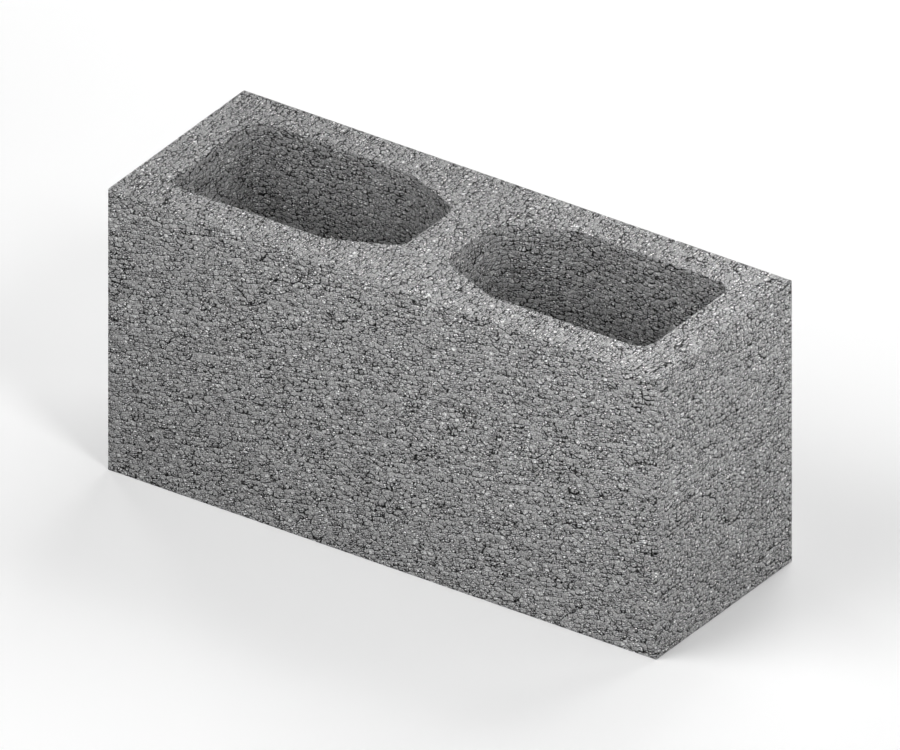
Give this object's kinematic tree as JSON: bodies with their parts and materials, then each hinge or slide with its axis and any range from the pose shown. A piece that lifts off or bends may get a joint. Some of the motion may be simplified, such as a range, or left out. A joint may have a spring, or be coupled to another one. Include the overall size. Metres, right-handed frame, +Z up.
{
  "type": "hollow concrete block",
  "caption": "Plain-ended hollow concrete masonry block with tapered cells through its height, for a wall one block thick.",
  "frame": {"origin": "middle of the block's footprint, at the face that it stands on", "axes": "+X along the block's length, +Y through its thickness, +Z up along the cells"},
  "size_m": [0.39, 0.14, 0.19],
  "materials": {
    "concrete": "matte"
  },
  "bodies": {
    "root": {"concrete_block": "concrete"}
  },
  "joints": []
}
